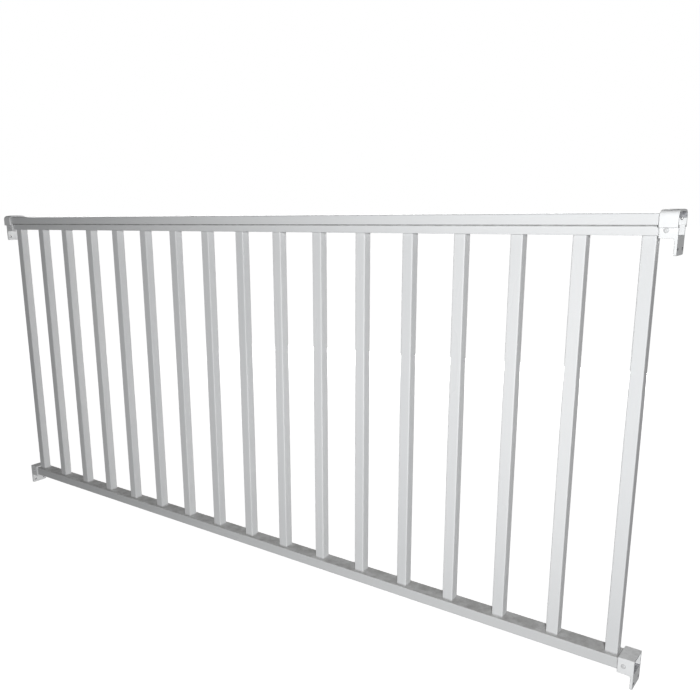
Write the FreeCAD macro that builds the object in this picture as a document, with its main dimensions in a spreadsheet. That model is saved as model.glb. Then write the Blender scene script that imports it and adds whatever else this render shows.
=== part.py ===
# Deck railing section: two hollow rails, a row of square pickets and four cast end brackets.
#
# Frame: X runs along the rails, Y points away from the viewer, Z is up. The origin lies on the
# flat post side of the lower left bracket, midway between the two holes of its tab.

import FreeCAD
import Part
import Sketcher
import os

doc = FreeCAD.newDocument("DeckRailing")

# Driving dimensions, in millimetres

SIZES = [
    ("picket_side", 25.4, "side of a square picket tube"),
    ("picket_wall", 1.3, "wall of a picket"),
    ("picket_corner", 2.2, "outer corner radius of a picket"),
    ("picket_gap", 98.4, "clear gap between two pickets"),
    ("picket_count", 17, "number of pickets"),
    ("punch_clearance", 0.25, "room round a picket in its punched hole"),
    ("rail_spacing", 838.2, "clear height between the two rails"),
    ("picket_reach", 10.0, "how far a picket stands up inside the channel"),
    ("end_distance", 50.0, "centre of an end picket to the post"),
    ("rail_recess", 12.0, "end of a rail to the post"),
    ("lower_depth", 44.5, "depth of the bottom rail"),
    ("lower_height", 25.4, "height of the bottom rail"),
    ("lower_wall", 1.6, "wall of the bottom rail"),
    ("lower_corner", 1.5, "outer corner radius of the bottom rail"),
    ("neck_width", 41.0, "outer width of the channel under the cap"),
    ("neck_height", 15.5, "underside of the channel to its ledge"),
    ("channel_wall", 1.8, "wall of the channel"),
    ("ledge_depth", 2.4, "how far the channel steps in above its ledge"),
    ("clip_rise", 8.5, "height of the channel walls above the ledge"),
    ("clip_clearance", 0.3, "room between the cap and the channel walls"),
    ("shadow_gap", 3.1, "open groove between the ledge and the cap"),
    ("cap_width", 54.6, "outer width of the cap"),
    ("cap_height", 20.4, "height of the cap at its sides, before rounding"),
    ("cap_wall", 1.8, "wall of the cap"),
    ("crown_rise", 2.0, "rise of the arched top over the cap's sides"),
    ("cap_shoulder", 3.0, "outer radius between the cap's sides and its arched top"),
    ("leg_wall", 1.5, "thickness of the two legs inside the cap"),
    ("leg_overlap", 3.0, "how far the legs reach down between the channel walls"),
    ("edge_radius", 0.8, "rounding of the channel's long outer edges"),
    ("bracket_wall", 4.2, "wall of a cast bracket"),
    ("bracket_clearance", 0.4, "room between a rail and its bracket"),
    ("sleeve_length", 32.0, "length of a bracket's sleeve along the rail"),
    ("cast_radius", 1.2, "rounding of a casting's long straight edges"),
    ("cast_shoulder", 12.0, "outer radius of an upper casting's shoulders"),
    ("cast_inner_shoulder", 1.4, "inner radius of an upper casting's shoulders"),
    ("cast_chamfer", 0.8, "chamfer round a casting's rim and tab"),
    ("tab_drop", 30.0, "how far a tab hangs below its sleeve"),
    ("tab_thickness", 5.0, "thickness of a tab"),
    ("tab_corner", 4.5, "radius of a tab's lower corners"),
    ("tab_fillet", 5.0, "fillet between a tab and its sleeve"),
    ("tab_hole_rise", 11.0, "tab's lower edge to its holes"),
    ("tab_hole_spacing", 33.0, "distance between a tab's two holes"),
    ("tab_hole_radius", 2.75, "radius of a tab's holes"),
    ("screw_radius", 2.2, "radius of a set screw's hole"),
    ("screw_inset", 12.0, "set screw to the open end of the sleeve"),
    ("screw_drop", 4.6, "upper set screw to the step of its sleeve"),
    ("pin_hole_radius", 1.8, "radius of the hole in an upper sleeve's back wall"),
    ("pin_hole_inset", 8.0, "that hole to the post"),
]

# Largest distance at which two points of the model still count as one
TOUCH = 1e-4

sheet = doc.addObject("Spreadsheet::Sheet", "Sizes")
for row, (alias, value, meaning) in enumerate(SIZES, start=1):
    sheet.set("A%d" % row, alias)
    sheet.set("B%d" % row, str(value))
    sheet.setAlias("B%d" % row, alias)
    sheet.set("C%d" % row, meaning)
doc.recompute()

# Places that follow from the driving dimensions, as formulas for the sheet's aliases

PITCH = "(Sizes.picket_side + Sizes.picket_gap)"
LENGTH = "((Sizes.picket_count - 1) * %s + 2 * Sizes.end_distance)" % PITCH
RAIL_LENGTH = "(%s - 2 * Sizes.rail_recess)" % LENGTH
FIRST_PICKET = "(Sizes.end_distance - Sizes.rail_recess)"
OFFSET = "(Sizes.bracket_clearance + Sizes.bracket_wall)"

LOWER_SLEEVE_BOTTOM = "(Sizes.tab_drop - Sizes.tab_hole_rise)"
LOWER_RAIL_BOTTOM = "(%s + %s)" % (LOWER_SLEEVE_BOTTOM, OFFSET)
LOWER_RAIL_TOP = "(%s + Sizes.lower_height)" % LOWER_RAIL_BOTTOM
UPPER_RAIL_BOTTOM = "(%s + Sizes.rail_spacing)" % LOWER_RAIL_TOP

HALF_NECK = "(Sizes.neck_width / 2)"
HALF_CAP = "(Sizes.cap_width / 2)"
HALF_CLIP = "(%s - Sizes.ledge_depth)" % HALF_NECK
CLIP_TOP = "(Sizes.neck_height + Sizes.clip_rise)"
CAP_BASE = "(Sizes.neck_height + Sizes.shadow_gap)"
CAP_CORNER = "(%s + Sizes.cap_height)" % CAP_BASE
CROWN_RADIUS = "((%s ^ 2 + Sizes.crown_rise ^ 2) / (2 * Sizes.crown_rise))" % HALF_CAP
CROWN_CENTRE = "(%s + Sizes.crown_rise - %s)" % (CAP_CORNER, CROWN_RADIUS)


def crown_height(offset, across):
    """Height of the arched top, moved out by offset, at a distance across from the middle."""
    return "(%s + sqrt((%s + %s) ^ 2 - (%s) ^ 2))" % (CROWN_CENTRE, CROWN_RADIUS, offset, across)


def value_of(formula):
    """The number that a formula gives with the present sizes."""
    return float(sheet.evalExpression(formula))


def new_body(name, x_place="0", z_place="0", turned=False):
    """A sub-part with its own frame, put in its place along and above the origin."""
    body = doc.addObject("PartDesign::Body", name)
    body.Label = name
    if turned:
        body.Placement = FreeCAD.Placement(
            FreeCAD.Vector(0, 0, 0), FreeCAD.Rotation(FreeCAD.Vector(0, 0, 1), 180)
        )
    body.setExpression("Placement.Base.x", x_place)
    body.setExpression("Placement.Base.z", z_place)
    return body


def new_sketch(body, name, role, offset=None):
    """A sketch on one of the body's own origin planes, moved along its normal by offset."""
    sketch = body.newObject("Sketcher::SketchObject", name)
    plane = [o for o in body.Origin.OriginFeatures if o.Role == role][0]
    sketch.AttachmentSupport = [(plane, "")]
    sketch.MapMode = "FlatFace"
    if offset is not None:
        sketch.setExpression("AttachmentOffset.Base.z", offset)
    return sketch


def bind(sketch, constraint, formula):
    """Adds a dimension to the sketch and ties it to a formula."""
    index = sketch.addConstraint(constraint)
    sketch.setExpression("Constraints[%d]" % index, formula)


def arc_between(start, end, radius):
    """A short arc from start to end that bulges to the right of the way from start to end."""
    chord = end - start
    half = chord.Length / 2
    middle = (start + end) / 2
    outward = FreeCAD.Vector(chord.y, -chord.x, 0).normalize()
    depth = max(radius ** 2 - half ** 2, 0.0) ** 0.5
    crest = middle + outward * (radius - depth)
    return Part.Arc(start, crest, end)


def near(number, target):
    return abs(number - target) < TOUCH


def add_outline(sketch, corners, bulges=None, hollows=None):
    """A closed outline through corners given as pairs of formulas, each corner fixed by two
    dimensions. The corners run anticlockwise. bulges and hollows give the radius of each side
    that is an arc, outwards or inwards, by the number of its first corner."""
    bulges = bulges or {}
    hollows = hollows or {}
    radii = {**bulges, **hollows}
    points = [FreeCAD.Vector(value_of(u), value_of(v), 0) for u, v in corners]
    sides = []
    for number, start in enumerate(points):
        end = points[(number + 1) % len(points)]
        if number in bulges:
            curve = arc_between(start, end, value_of(bulges[number]))
        elif number in hollows:
            curve = arc_between(end, start, value_of(hollows[number]))
        else:
            curve = Part.LineSegment(start, end)
        side = sketch.addGeometry(curve)
        starts_here = near(sketch.Geometry[side].StartPoint.distanceToPoint(start), 0)
        sides.append((side, 1 if starts_here else 2))
    for number, (side, first) in enumerate(sides):
        after, after_first = sides[(number + 1) % len(sides)]
        sketch.addConstraint(Sketcher.Constraint("Coincident", side, 3 - first, after, after_first))
        spot = points[number]
        bind(sketch, Sketcher.Constraint("DistanceX", -1, 1, side, first, spot.x), corners[number][0])
        bind(sketch, Sketcher.Constraint("DistanceY", -1, 1, side, first, spot.y), corners[number][1])
        if number in radii:
            radius = value_of(radii[number])
            bind(sketch, Sketcher.Constraint("Radius", side, radius), radii[number])


def add_rectangle(sketch, half_width, low, high):
    """A rectangle, centred left to right."""
    right = half_width
    left = "-%s" % half_width
    add_outline(sketch, [(left, low), (right, low), (right, high), (left, high)])


def add_rounded_rectangle(sketch, half_width, low, high, radius):
    """A rectangle with four round corners, centred left to right."""
    right = half_width
    left = "-%s" % half_width
    corners = [
        ("%s + %s" % (left, radius), low),
        ("%s - %s" % (right, radius), low),
        (right, "%s + %s" % (low, radius)),
        (right, "%s - %s" % (high, radius)),
        ("%s - %s" % (right, radius), high),
        ("%s + %s" % (left, radius), high),
        (left, "%s - %s" % (high, radius)),
        (left, "%s + %s" % (low, radius)),
    ]
    add_outline(sketch, corners, {1: radius, 3: radius, 5: radius, 7: radius})


def add_circle(sketch, across, up, radius):
    """A circle with its centre and radius tied to formulas."""
    centre = FreeCAD.Vector(value_of(across), value_of(up), 0)
    circle = sketch.addGeometry(Part.Circle(centre, FreeCAD.Vector(0, 0, 1), value_of(radius)))
    bind(sketch, Sketcher.Constraint("Radius", circle, value_of(radius)), radius)
    bind(sketch, Sketcher.Constraint("DistanceX", -1, 1, circle, 3, centre.x), across)
    bind(sketch, Sketcher.Constraint("DistanceY", -1, 1, circle, 3, centre.y), up)


def pad(body, name, sketch, length, both_ways=False):
    """Extrudes a sketch along its normal, or half the length to each side of its plane."""
    feature = body.newObject("PartDesign::Pad", name)
    feature.Profile = sketch
    feature.setExpression("Length", length)
    feature.Midplane = both_ways
    sketch.Visibility = False
    doc.recompute()
    return feature


def pocket(body, name, sketch, length, towards_normal=False, both_ways=False):
    """Cuts a sketch out of the body and makes sure that something was cut."""
    before = body.Shape.Volume
    feature = body.newObject("PartDesign::Pocket", name)
    feature.Profile = sketch
    feature.setExpression("Length", length)
    feature.Reversed = towards_normal
    feature.Midplane = both_ways
    sketch.Visibility = False
    doc.recompute()
    if body.Shape.Volume > before - TOUCH:
        raise RuntimeError("%s cuts nothing" % name)
    return feature


def dress_edges(body, kind, name, size, wanted):
    """A Fillet or Chamfer on the edges of the body's last feature for which wanted(edge) holds."""
    base = body.Tip
    names = ["Edge%d" % (n + 1) for n, edge in enumerate(base.Shape.Edges) if wanted(edge)]
    if not names:
        raise RuntimeError("%s finds no edge" % name)
    feature = body.newObject("PartDesign::" + kind, name)
    feature.Base = (base, names)
    feature.setExpression({"Fillet": "Radius", "Chamfer": "Size"}[kind], size)
    doc.recompute()
    return feature


def round_edges(body, name, radius, wanted):
    return dress_edges(body, "Fillet", name, radius, wanted)


def bevel_edges(body, name, size, wanted):
    return dress_edges(body, "Chamfer", name, size, wanted)


def along(edge, axis):
    """Whether an edge is straight and lies along an axis, given as x, y or z."""
    ends = edge.Vertexes
    if len(ends) != 2:
        return False
    way = ends[1].Point - ends[0].Point
    return near(abs(getattr(way, axis)), way.Length) and way.Length > TOUCH


# Pickets

def make_picket(number):
    """One square tube, from the floor of the bottom rail up into the channel."""
    name = "picket_%02d" % number
    x_place = "Sizes.end_distance + %d * %s" % (number - 1, PITCH)
    z_place = "%s + Sizes.lower_wall" % LOWER_RAIL_BOTTOM
    body = new_body(name, x_place, z_place)
    section = new_sketch(body, name + "_section", "XY_Plane")
    half = "(Sizes.picket_side / 2)"
    bore = "(%s - Sizes.picket_wall)" % half
    add_rounded_rectangle(section, half, "-" + half, half, "Sizes.picket_corner")
    add_rectangle(section, bore, "-" + bore, bore)
    height = "Sizes.lower_height - Sizes.lower_wall + Sizes.rail_spacing + Sizes.picket_reach"
    pad(body, name + "_tube", section, height)
    return body


def punch_pickets(body, height, depth):
    """Punches the row of picket holes down into a rail from a height. The punch is a square with
    its corners cut off, just outside the round corners of a picket."""
    name = body.Name
    half = "(Sizes.picket_side / 2 + Sizes.punch_clearance)"
    cut = "(%s - (2 - sqrt(2)) * (Sizes.picket_corner + Sizes.punch_clearance))" % half
    turns = [(cut, "-" + half), (half, "-" + cut), (half, cut), (cut, half),
             ("-" + cut, half), ("-" + half, cut), ("-" + half, "-" + cut), ("-" + cut, "-" + half)]
    hole = new_sketch(body, name + "_punch", "XY_Plane", height)
    add_outline(hole, [("%s + %s" % (FIRST_PICKET, across), up) for across, up in turns])
    first = pocket(body, name + "_hole", hole, depth)
    row = body.newObject("PartDesign::LinearPattern", name + "_holes")
    row.Originals = [first]
    axis = [o for o in body.Origin.OriginFeatures if o.Role == "X_Axis"][0]
    row.Direction = (axis, [""])
    row.setExpression("Length", "(Sizes.picket_count - 1) * %s" % PITCH)
    row.setExpression("Occurrences", "Sizes.picket_count")
    body.Tip = row
    doc.recompute()


# Bottom rail: a plain rectangular tube, its top wall punched for the pickets

def make_bottom_rail():
    body = new_body("bottom_rail", "Sizes.rail_recess", LOWER_RAIL_BOTTOM)
    section = new_sketch(body, "bottom_rail_section", "YZ_Plane")
    half = "(Sizes.lower_depth / 2)"
    add_rounded_rectangle(section, half, "0", "Sizes.lower_height", "Sizes.lower_corner")
    inner = "(%s - Sizes.lower_wall)" % half
    add_rectangle(section, inner, "Sizes.lower_wall", "Sizes.lower_height - Sizes.lower_wall")
    pad(body, "bottom_rail_tube", section, RAIL_LENGTH)
    punch_pickets(body, "Sizes.lower_height", "Sizes.lower_wall")
    return body


# Top rail: a channel that takes the pickets, and an arched cap clipped over its walls

def make_channel():
    body = new_body("top_rail_channel", "Sizes.rail_recess", UPPER_RAIL_BOTTOM)
    section = new_sketch(body, "channel_section", "YZ_Plane")
    wall = "Sizes.channel_wall"
    ledge = "Sizes.neck_height"
    right = [
        (HALF_NECK, "0"),
        (HALF_NECK, ledge),
        (HALF_CLIP, ledge),
        (HALF_CLIP, CLIP_TOP),
        ("%s - %s" % (HALF_CLIP, wall), CLIP_TOP),
        ("%s - %s" % (HALF_CLIP, wall), "%s - %s" % (ledge, wall)),
        ("%s - %s" % (HALF_NECK, wall), "%s - %s" % (ledge, wall)),
        ("%s - %s" % (HALF_NECK, wall), wall),
    ]
    left = [("-(%s)" % across, up) for across, up in reversed(right)]
    add_outline(section, right + left)
    pad(body, "channel_extrusion", section, RAIL_LENGTH)
    neck = value_of(HALF_NECK)
    heights = (0.0, value_of(ledge))

    def outer(edge):
        spot = edge.CenterOfMass
        return along(edge, "x") and near(abs(spot.y), neck) and any(near(spot.z, h) for h in heights)

    round_edges(body, "channel_edges", "Sizes.edge_radius", outer)
    punch_pickets(body, "Sizes.channel_wall", "Sizes.channel_wall")
    return body


def shoulder_edges(offset):
    """Picks the long edges where a side, moved out by offset, meets the arched top."""
    side = value_of("%s + %s" % (HALF_CAP, offset))
    height = value_of(crown_height(offset, "%s + %s" % (HALF_CAP, offset)))

    def wanted(edge):
        spot = edge.CenterOfMass
        return along(edge, "x") and near(abs(spot.y), side) and near(spot.z, height)

    return wanted


def make_cap():
    body = new_body("top_rail_cap", "Sizes.rail_recess", UPPER_RAIL_BOTTOM)
    section = new_sketch(body, "cap_section", "YZ_Plane")
    wall = "Sizes.cap_wall"
    lip = "(%s + Sizes.clip_clearance)" % HALF_CLIP
    lip_top = "%s + %s" % (CAP_BASE, wall)
    inner = "(%s - %s)" % (HALF_CAP, wall)
    inner_corner = crown_height("-" + wall, inner)
    corners = [
        (lip, CAP_BASE),
        (HALF_CAP, CAP_BASE),
        (HALF_CAP, CAP_CORNER),
        ("-" + HALF_CAP, CAP_CORNER),
        ("-" + HALF_CAP, CAP_BASE),
        ("-" + lip, CAP_BASE),
        ("-" + lip, lip_top),
        ("-" + inner, lip_top),
        ("-" + inner, inner_corner),
        (inner, inner_corner),
        (inner, lip_top),
        (lip, lip_top),
    ]
    inner_radius = "(%s - %s)" % (CROWN_RADIUS, wall)
    add_outline(section, corners, {2: CROWN_RADIUS}, {8: inner_radius})
    pad(body, "cap_shell", section, RAIL_LENGTH)
    half = value_of(HALF_CAP)
    base = value_of(CAP_BASE)

    def lower(edge):
        spot = edge.CenterOfMass
        return along(edge, "x") and near(abs(spot.y), half) and near(spot.z, base)

    round_edges(body, "cap_edges", "Sizes.edge_radius", lower)
    round_edges(body, "cap_shoulders", "Sizes.cap_shoulder", shoulder_edges("0"))
    round_edges(body, "cap_inner_shoulders", "Sizes.cap_shoulder - Sizes.cap_wall",
                shoulder_edges("-" + wall))
    legs = new_sketch(body, "cap_leg_section", "YZ_Plane")
    leg_out = "(%s - Sizes.channel_wall - Sizes.clip_clearance)" % HALF_CLIP
    leg_in = "(%s - Sizes.leg_wall)" % leg_out
    leg_low = "(%s - Sizes.leg_overlap)" % CLIP_TOP
    leg_high = crown_height("-%s / 2" % wall, leg_out)
    add_outline(legs, [(leg_in, leg_low), (leg_out, leg_low), (leg_out, leg_high), (leg_in, leg_high)])
    add_outline(legs, [("-" + leg_out, leg_low), ("-" + leg_in, leg_low),
                       ("-" + leg_in, leg_high), ("-" + leg_out, leg_high)])
    pad(body, "cap_legs", legs, RAIL_LENGTH)
    return body


# Brackets: a cast sleeve round the end of a rail, with a tab that hangs down against the post

def crowned_section(sketch, offset):
    """The T-shaped outline of the whole top rail, moved out by offset."""
    neck = "(%s + %s)" % (HALF_NECK, offset)
    side = "(%s + %s)" % (HALF_CAP, offset)
    step = "(%s - %s)" % (CAP_BASE, offset)
    corner = crown_height(offset, side)
    corners = [
        ("-" + neck, "-" + offset),
        (neck, "-" + offset),
        (neck, step),
        (side, step),
        (side, corner),
        ("-" + side, corner),
        ("-" + side, step),
        ("-" + neck, step),
    ]
    add_outline(sketch, corners, {4: "(%s + %s)" % (CROWN_RADIUS, offset)})


def long_edges(half_width, height):
    """Picks a casting's straight edges along the rail at a distance from its middle and a height."""
    side = value_of(half_width)
    level = value_of(height)

    def wanted(edge):
        spot = edge.CenterOfMass
        return along(edge, "x") and near(abs(spot.y), side) and near(spot.z, level)

    return wanted


def side_edges(half_width, sleeve_bottom):
    """Picks the lower edges round a casting's side faces, along its sleeve and its tab."""
    side = value_of(half_width)
    top = value_of(sleeve_bottom)

    def wanted(edge):
        spots = edge.discretize(3)
        on_side = all(near(abs(spot.y), side) and spot.z < top + TOUCH for spot in spots)
        return on_side and not all(near(spot.x, 0) for spot in spots)

    return wanted


def rim_edges(body):
    """Picks the outer edges of the end face where the rail enters the sleeve."""
    end = value_of("Sizes.sleeve_length")
    faces = body.Tip.Shape.Faces
    rim = [f for f in faces if near(f.BoundBox.XMin, end) and near(f.BoundBox.XMax, end)][0]
    outer = rim.OuterWire.Edges

    def wanted(edge):
        return any(edge.isSame(other) for other in outer)

    return wanted


def add_tab(body, half_width, sleeve_bottom):
    """The tab, drawn from the side with its fillet into the sleeve."""
    name = body.Name
    low = "(%s - Sizes.tab_drop)" % sleeve_bottom
    seat = "(%s + Sizes.bracket_wall)" % sleeve_bottom
    reach = "(Sizes.tab_thickness + Sizes.tab_fillet)"
    profile = new_sketch(body, name + "_tab_side", "XZ_Plane")
    corners = [
        ("0", low),
        ("Sizes.tab_thickness", low),
        ("Sizes.tab_thickness", "%s - Sizes.tab_fillet" % sleeve_bottom),
        (reach, sleeve_bottom),
        (reach, seat),
        ("0", seat),
    ]
    add_outline(profile, corners, hollows={2: "Sizes.tab_fillet"})
    pad(body, name + "_tab", profile, "2 * %s" % half_width, both_ways=True)
    side = value_of(half_width)
    bottom = value_of(low)

    def lower_corner(edge):
        spot = edge.CenterOfMass
        return along(edge, "x") and near(abs(spot.y), side) and near(spot.z, bottom)

    round_edges(body, name + "_tab_corners", "Sizes.tab_corner", lower_corner)


def drill_tab(body, sleeve_bottom):
    """The two holes that hold a tab to the post."""
    name = body.Name
    drill = new_sketch(body, name + "_tab_drill", "YZ_Plane")
    rise = "%s - Sizes.tab_drop + Sizes.tab_hole_rise" % sleeve_bottom
    for sign in ("-", ""):
        add_circle(drill, sign + "Sizes.tab_hole_spacing / 2", rise, "Sizes.tab_hole_radius")
    pocket(body, name + "_tab_holes", drill, "Sizes.tab_thickness", towards_normal=True)


def drill_set_screw(body, height, half_width):
    """One hole for a set screw in the front wall and one in the back wall."""
    name = body.Name
    drill = new_sketch(body, name + "_screw_drill", "XZ_Plane")
    add_circle(drill, "Sizes.sleeve_length - Sizes.screw_inset", height, "Sizes.screw_radius")
    pocket(body, name + "_screw_holes", drill, "4 * %s" % half_width, both_ways=True)


def make_upper_bracket(name, x_place, turned):
    body = new_body(name, x_place, UPPER_RAIL_BOTTOM, turned)
    section = new_sketch(body, name + "_section", "YZ_Plane")
    crowned_section(section, OFFSET)
    crowned_section(section, "Sizes.bracket_clearance")
    pad(body, name + "_sleeve", section, "Sizes.sleeve_length")
    round_edges(body, name + "_shoulders", "Sizes.cast_shoulder", shoulder_edges(OFFSET))
    round_edges(body, name + "_inner_shoulders", "Sizes.cast_inner_shoulder",
                shoulder_edges("Sizes.bracket_clearance"))
    half_neck = "(%s + %s)" % (HALF_NECK, OFFSET)
    sleeve_bottom = "(-%s)" % OFFSET
    add_tab(body, half_neck, sleeve_bottom)
    step = "(%s - %s)" % (CAP_BASE, OFFSET)
    half_wide = "(%s + %s)" % (HALF_CAP, OFFSET)
    round_edges(body, name + "_step_edges", "Sizes.cast_radius", long_edges(half_wide, step))
    round_edges(body, name + "_step_corners", "Sizes.cast_radius", long_edges(half_neck, step))
    bevel_edges(body, name + "_sides", "Sizes.cast_chamfer", side_edges(half_neck, sleeve_bottom))
    bevel_edges(body, name + "_rim", "Sizes.cast_chamfer", rim_edges(body))
    drill_tab(body, sleeve_bottom)
    drill_set_screw(body, "%s - Sizes.screw_drop" % step, half_neck)
    pin = new_sketch(body, name + "_pin_drill", "XZ_Plane")
    middle = "(%s + Sizes.cap_height / 2)" % CAP_BASE
    add_circle(pin, "Sizes.pin_hole_inset", middle, "Sizes.pin_hole_radius")
    pocket(body, name + "_pin_hole", pin, "%s + 2 * %s" % (HALF_CAP, OFFSET), towards_normal=turned)
    return body


def make_lower_bracket(name, x_place, turned):
    body = new_body(name, x_place, LOWER_RAIL_BOTTOM, turned)
    section = new_sketch(body, name + "_section", "YZ_Plane")
    half = "(Sizes.lower_depth / 2 + %s)" % OFFSET
    sleeve_bottom = "(-%s)" % OFFSET
    sleeve_top = "(Sizes.lower_height + %s)" % OFFSET
    add_rectangle(section, half, sleeve_bottom, sleeve_top)
    fit = "Sizes.bracket_clearance"
    add_rectangle(section, "(Sizes.lower_depth / 2 + %s)" % fit, "-" + fit, "Sizes.lower_height + " + fit)
    pad(body, name + "_sleeve", section, "Sizes.sleeve_length")
    add_tab(body, half, sleeve_bottom)
    round_edges(body, name + "_edges", "Sizes.cast_radius", long_edges(half, sleeve_top))
    bevel_edges(body, name + "_sides", "Sizes.cast_chamfer", side_edges(half, sleeve_bottom))
    bevel_edges(body, name + "_rim", "Sizes.cast_chamfer", rim_edges(body))
    drill_tab(body, sleeve_bottom)
    drill_set_screw(body, "Sizes.lower_height / 2", half)
    return body


# The whole section

parts = [make_bottom_rail(), make_channel(), make_cap()]
for number in range(1, int(sheet.picket_count) + 1):
    parts.append(make_picket(number))
for end, x_place, turned in (("left", "0", False), ("right", LENGTH, True)):
    parts.append(make_upper_bracket("bracket_top_" + end, x_place, turned))
    parts.append(make_lower_bracket("bracket_bottom_" + end, x_place, turned))
doc.recompute()

# Every object is sound before anything is written

for item in doc.Objects:
    if "Invalid" in item.State or "Error" in item.State:
        raise RuntimeError("%s is in state %s" % (item.Name, item.State))
os.makedirs("parts", exist_ok=True)
for body in parts:
    shape = body.Shape
    if shape.isNull() or not shape.isValid():
        raise RuntimeError("%s has no sound shape" % body.Label)
    shape.exportStep("parts/%s.step" % body.Label)
    box = shape.optimalBoundingBox(False)
    print("%-22s %d solid  %9.1f mm3  x %.1f to %.1f  y %.1f to %.1f  z %.1f to %.1f" % (
        body.Label, len(shape.Solids), shape.Volume,
        box.XMin, box.XMax, box.YMin, box.YMax, box.ZMin, box.ZMax))
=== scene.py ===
# %% [markdown]
# # A white deck railing section
#
# This is one section of an aluminium deck railing: a bottom rail, a two-part top rail,
# seventeen square pickets and four cast end brackets, all with a white powder coat. The
# pieces arrive as exact solids, in metres, already in their places. So this lesson is about
# the finish: how a plain white coat gets its depth, how bare metal shows where the coat never
# reached, and how one small screw is made once and set eight times.

# %% Load the frame
import math

import bmesh
import bpy
from mathutils import Matrix, Vector


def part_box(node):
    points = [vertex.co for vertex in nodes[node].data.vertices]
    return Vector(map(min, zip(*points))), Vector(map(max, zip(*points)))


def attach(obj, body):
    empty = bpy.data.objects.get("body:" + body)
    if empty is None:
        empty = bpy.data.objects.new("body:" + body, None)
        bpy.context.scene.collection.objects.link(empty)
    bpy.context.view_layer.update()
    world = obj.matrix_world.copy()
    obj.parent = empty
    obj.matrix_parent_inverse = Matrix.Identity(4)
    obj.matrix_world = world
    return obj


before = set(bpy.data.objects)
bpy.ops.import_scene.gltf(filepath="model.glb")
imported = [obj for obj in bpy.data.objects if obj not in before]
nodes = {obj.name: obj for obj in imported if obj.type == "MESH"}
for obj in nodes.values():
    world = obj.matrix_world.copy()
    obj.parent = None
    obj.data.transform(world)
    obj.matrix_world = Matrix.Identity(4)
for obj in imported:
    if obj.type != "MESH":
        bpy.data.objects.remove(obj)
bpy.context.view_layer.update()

scene = bpy.context.scene
scene.view_settings.view_transform = "Standard"
print("pieces from the frame:", len(nodes))

# %% [markdown]
# ## Reading sizes from the frame
#
# The box of each solid tells where it is and how far it reaches, so those sizes aren't typed in
# again. We sort the pieces into the families that share a finish before anything is painted.

# %% Sort the pieces
pickets = sorted(name for name in nodes if name.startswith("picket_"))
brackets = sorted(name for name in nodes if name.startswith("bracket_"))
rails = ["bottom_rail", "top_rail_channel", "top_rail_cap"]

boxes = {name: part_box(name) for name in nodes}
length = boxes["bracket_bottom_right"][1].x
floor_height = min(low.z for low, high in boxes.values())
print("pickets:", len(pickets), "brackets:", len(brackets))
print("length over the brackets: %.4f m, floor at %.4f m" % (length, floor_height))

# %% [markdown]
# ## The camera
#
# The photograph was taken from near the right-hand end, close to the railing and a little
# above the top rail, so the pickets shrink quickly towards the left. Matching it by eye is
# slow. Instead the straight edges of the rails and pickets fix the viewpoint: where the
# lens stood, which way it looked, how long it was, and how far the picture is cropped to one
# side of the lens's own middle. That last part is the camera's shift. Several viewpoints fit
# almost equally well, and this is one with a small shift.

# %% Camera
FRAME_WIDTH = 700
LENS_PIXELS = 771.45
LENS_MIDDLE = (296.0, 399.04)
CAMERA_PLACE = Vector((2.4061, -1.5093, 0.9491))
HEADING = -0.6708
TILT = -0.2455
ROLL = -0.0170
SENSOR_WIDTH = 36.0


def camera_axes(heading, tilt, roll):
    """The right, up and forward directions of a camera that looks along +Y when untouched."""
    forward = Vector((
        math.sin(heading) * math.cos(tilt),
        math.cos(heading) * math.cos(tilt),
        math.sin(tilt),
    ))
    level = Vector((math.cos(heading), -math.sin(heading), 0.0))
    upright = level.cross(forward)
    right = level * math.cos(roll) + upright * math.sin(roll)
    up = upright * math.cos(roll) - level * math.sin(roll)
    return right, up, forward


right, up, forward = camera_axes(HEADING, TILT, ROLL)
camera_data = bpy.data.cameras.new("camera")
camera_data.sensor_width = SENSOR_WIDTH
camera_data.lens = SENSOR_WIDTH * LENS_PIXELS / FRAME_WIDTH
camera_data.shift_x = (FRAME_WIDTH / 2 - LENS_MIDDLE[0]) / FRAME_WIDTH
camera_data.shift_y = (LENS_MIDDLE[1] - FRAME_WIDTH / 2) / FRAME_WIDTH
camera_data.clip_start = 0.05
camera = bpy.data.objects.new("camera", camera_data)
scene.collection.objects.link(camera)
turn = Matrix((right, up, -forward)).transposed().to_4x4()
camera.matrix_world = Matrix.Translation(CAMERA_PLACE) @ turn
scene.camera = camera
print("lens %.1f mm, shift %.3f, %.3f" % (camera_data.lens, camera_data.shift_x, camera_data.shift_y))

# %% [markdown]
# ## A small helper for node trees
#
# Every material and node group below is a graph. Building one means adding nodes, setting
# their properties and wiring their sockets, so one short function does all three. An input
# that is given a socket is wired to it, and any other value is typed into it.

# %% Node helpers
def add(tree, kind, inputs=None, **settings):
    """Adds a node. inputs maps a socket's name or number to a value or to another socket."""
    node = tree.nodes.new(kind)
    for name, value in settings.items():
        setattr(node, name, value)
    for name, value in (inputs or {}).items():
        if isinstance(value, bpy.types.NodeSocket):
            tree.links.new(value, node.inputs[name])
        else:
            node.inputs[name].default_value = value
    return node


def math_node(tree, operation, first, second=0.0, clamp=False):
    """The output of one Math node."""
    node = add(tree, "ShaderNodeMath", {0: first, 1: second}, operation=operation, use_clamp=clamp)
    return node.outputs[0]


def vector_node(tree, operation, first, second, output=0):
    """The output of one Vector Math node."""
    return add(tree, "ShaderNodeVectorMath", {0: first, 1: second}, operation=operation).outputs[output]


def ramp(tree, value, start, end, low=0.0, high=1.0):
    """A number that eases from low to high while value goes from start to end."""
    return add(tree, "ShaderNodeMapRange", {
        "Value": value, "From Min": start, "From Max": end, "To Min": low, "To Max": high,
    }, interpolation_type="SMOOTHSTEP").outputs[0]


def mix_colour(tree, amount, low, high):
    """One colour blended into another."""
    return add(tree, "ShaderNodeMix", {0: amount, 6: low, 7: high}, data_type="RGBA").outputs[2]


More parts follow.
